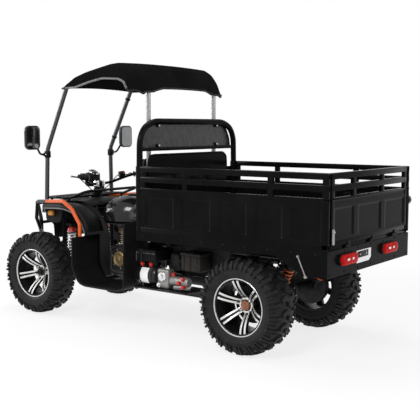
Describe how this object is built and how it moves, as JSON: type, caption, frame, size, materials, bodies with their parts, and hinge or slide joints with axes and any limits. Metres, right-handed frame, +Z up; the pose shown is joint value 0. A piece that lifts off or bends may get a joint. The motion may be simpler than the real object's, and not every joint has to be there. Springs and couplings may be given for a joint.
{
  "type": "utility quad bike",
  "caption": "Utility quad bike with a tipping cargo bed, bench seat, handlebar, roof canopy on posts and knobbly tyres.",
  "frame": {"origin": "on the ground under the middle of the machine's box", "axes": "+X forward, +Y to the left, +Z up"},
  "size_m": [2.972, 1.186, 1.917],
  "materials": {
    "tyre_rubber": "matt",
    "rim_alloy": "machined",
    "black_steel": "gloss",
    "orange_steel": "gloss",
    "post_steel": "satin",
    "bed_steel": "gloss",
    "black_moulding": "matt",
    "gloss_moulding": "gloss",
    "roof_moulding": "textured",
    "seat_vinyl": "satin",
    "engine_alloy": "cast",
    "exhaust_steel": "satin",
    "strut_steel": "gloss",
    "rear_strut_steel": "gloss",
    "axle_iron": "painted",
    "arm_steel": "satin",
    "pack_steel": "satin",
    "rod_chrome": "polished",
    "grip_rubber": "ribbed",
    "front_lens": "clear",
    "tail_lens": "gloss",
    "plate_white": "satin",
    "mirror_shell": "gloss"
  },
  "bodies": {
    "chassis": {"frame": "black_steel", "engine": "engine_alloy", "exhaust": "exhaust_steel", "rear_axle": "axle_iron", "rear_struts": "rear_strut_steel", "front_arms": "arm_steel", "front_struts": "strut_steel", "front_bumper": "black_steel", "guard_tubes": "orange_steel", "front_body": "black_moulding", "front_lamps": "front_lens", "front_rack": "black_steel", "tank_cover": "gloss_moulding", "footwell_left": "black_moulding", "footwell_right": "black_moulding", "seat_base": "black_moulding", "seat_cushion": "seat_vinyl", "seat_back": "seat_vinyl", "roof_posts": "post_steel", "roof": "roof_moulding", "mirrors": "mirror_shell", "power_pack": "pack_steel", "battery_box": "black_moulding"},
    "steering": {"handlebar": "black_steel", "grips": "grip_rubber", "instrument_pod": "black_moulding"},
    "bed": {"bed_floor": "bed_steel", "bed_side_left": "bed_steel", "bed_side_right": "bed_steel", "headboard": "bed_steel", "guard_panel": "gloss_moulding", "tail_skirt": "bed_steel", "tail_lamps": "tail_lens", "plate_holder": "plate_white"},
    "tailgate": {"tailgate": "bed_steel"},
    "cylinder_barrel": {"cylinder_barrel": "black_steel"},
    "cylinder_rod": {"cylinder_rod": "rod_chrome"},
    "knuckle_left": {"knuckle_left": "axle_iron"},
    "tie_rod_left": {"tie_rod_left": "black_steel"},
    "knuckle_right": {"knuckle_right": "axle_iron"},
    "tie_rod_right": {"tie_rod_right": "black_steel"},
    "wheel_rear_left": {"tyre_rear_left": "tyre_rubber", "rim_rear_left": "rim_alloy"},
    "wheel_rear_right": {"tyre_rear_right": "tyre_rubber", "rim_rear_right": "rim_alloy"},
    "wheel_front_left": {"tyre_front_left": "tyre_rubber", "rim_front_left": "rim_alloy"},
    "wheel_front_right": {"tyre_front_right": "tyre_rubber", "rim_front_right": "rim_alloy"}
  },
  "joints": [
    {"name": "steer", "type": "hinge", "parent": "chassis", "child": "steering", "pos_m": [0.955, 0, 0.91], "axis": [-0.342, 0, 0.9397], "range_deg": [-30, 30]},
    {"name": "knuckle_left_turn", "type": "hinge", "parent": "chassis", "child": "knuckle_left", "pos_m": [1.145, 0.39, 0.318], "axis": [0, 0, 1], "range_deg": [-30, 30]},
    {"name": "tie_rod_left_turn", "type": "hinge", "parent": "knuckle_left", "child": "tie_rod_left", "pos_m": [1.245, 0.39, 0.358], "axis": [0, 0, 1], "range_deg": [-30, 30]},
    {"name": "knuckle_right_turn", "type": "hinge", "parent": "chassis", "child": "knuckle_right", "pos_m": [1.145, -0.39, 0.318], "axis": [0, 0, 1], "range_deg": [-30, 30]},
    {"name": "tie_rod_right_turn", "type": "hinge", "parent": "knuckle_right", "child": "tie_rod_right", "pos_m": [1.245, -0.39, 0.358], "axis": [0, 0, 1], "range_deg": [-30, 30]},
    {"name": "wheel_rear_left_spin", "type": "hinge", "parent": "chassis", "child": "wheel_rear_left", "pos_m": [-0.835, 0.457, 0.318], "axis": [0, 1, 0], "continuous": true},
    {"name": "wheel_rear_right_spin", "type": "hinge", "parent": "chassis", "child": "wheel_rear_right", "pos_m": [-0.835, -0.457, 0.318], "axis": [0, 1, 0], "continuous": true},
    {"name": "wheel_front_left_spin", "type": "hinge", "parent": "knuckle_left", "child": "wheel_front_left", "pos_m": [1.145, 0.4445, 0.318], "axis": [0, 1, 0], "continuous": true},
    {"name": "wheel_front_right_spin", "type": "hinge", "parent": "knuckle_right", "child": "wheel_front_right", "pos_m": [1.145, -0.4445, 0.318], "axis": [0, 1, 0], "continuous": true},
    {"name": "bed_tip", "type": "hinge", "parent": "chassis", "child": "bed", "pos_m": [-1.335, 0, 0.65], "axis": [0, -1, 0], "range_deg": [0, 42]},
    {"name": "tailgate_drop", "type": "hinge", "parent": "bed", "child": "tailgate", "pos_m": [-1.478, 0, 0.745], "axis": [0, -1, 0], "range_deg": [0, 90]},
    {"name": "cylinder_swing", "type": "hinge", "parent": "chassis", "child": "cylinder_barrel", "pos_m": [-0.385, 0, 0.445], "axis": [0, 1, 0], "range_deg": [0, 16]},
    {"name": "cylinder_stroke", "type": "slide", "parent": "cylinder_barrel", "child": "cylinder_rod", "axis": [-0.8847, 0, 0.4661], "range_m": [0, 0.32]}
  ],
  "couplings": [
    {"joint": "knuckle_left_turn", "follows": "steer", "ratio": 1},
    {"joint": "tie_rod_left_turn", "follows": "steer", "ratio": -1},
    {"joint": "knuckle_right_turn", "follows": "steer", "ratio": 1},
    {"joint": "tie_rod_right_turn", "follows": "steer", "ratio": -1},
    {"joint": "cylinder_swing", "follows": "bed_tip", "ratio": 0.34371},
    {"joint": "cylinder_stroke", "follows": "bed_tip", "m_per_rad": 0.41833}
  ]
}
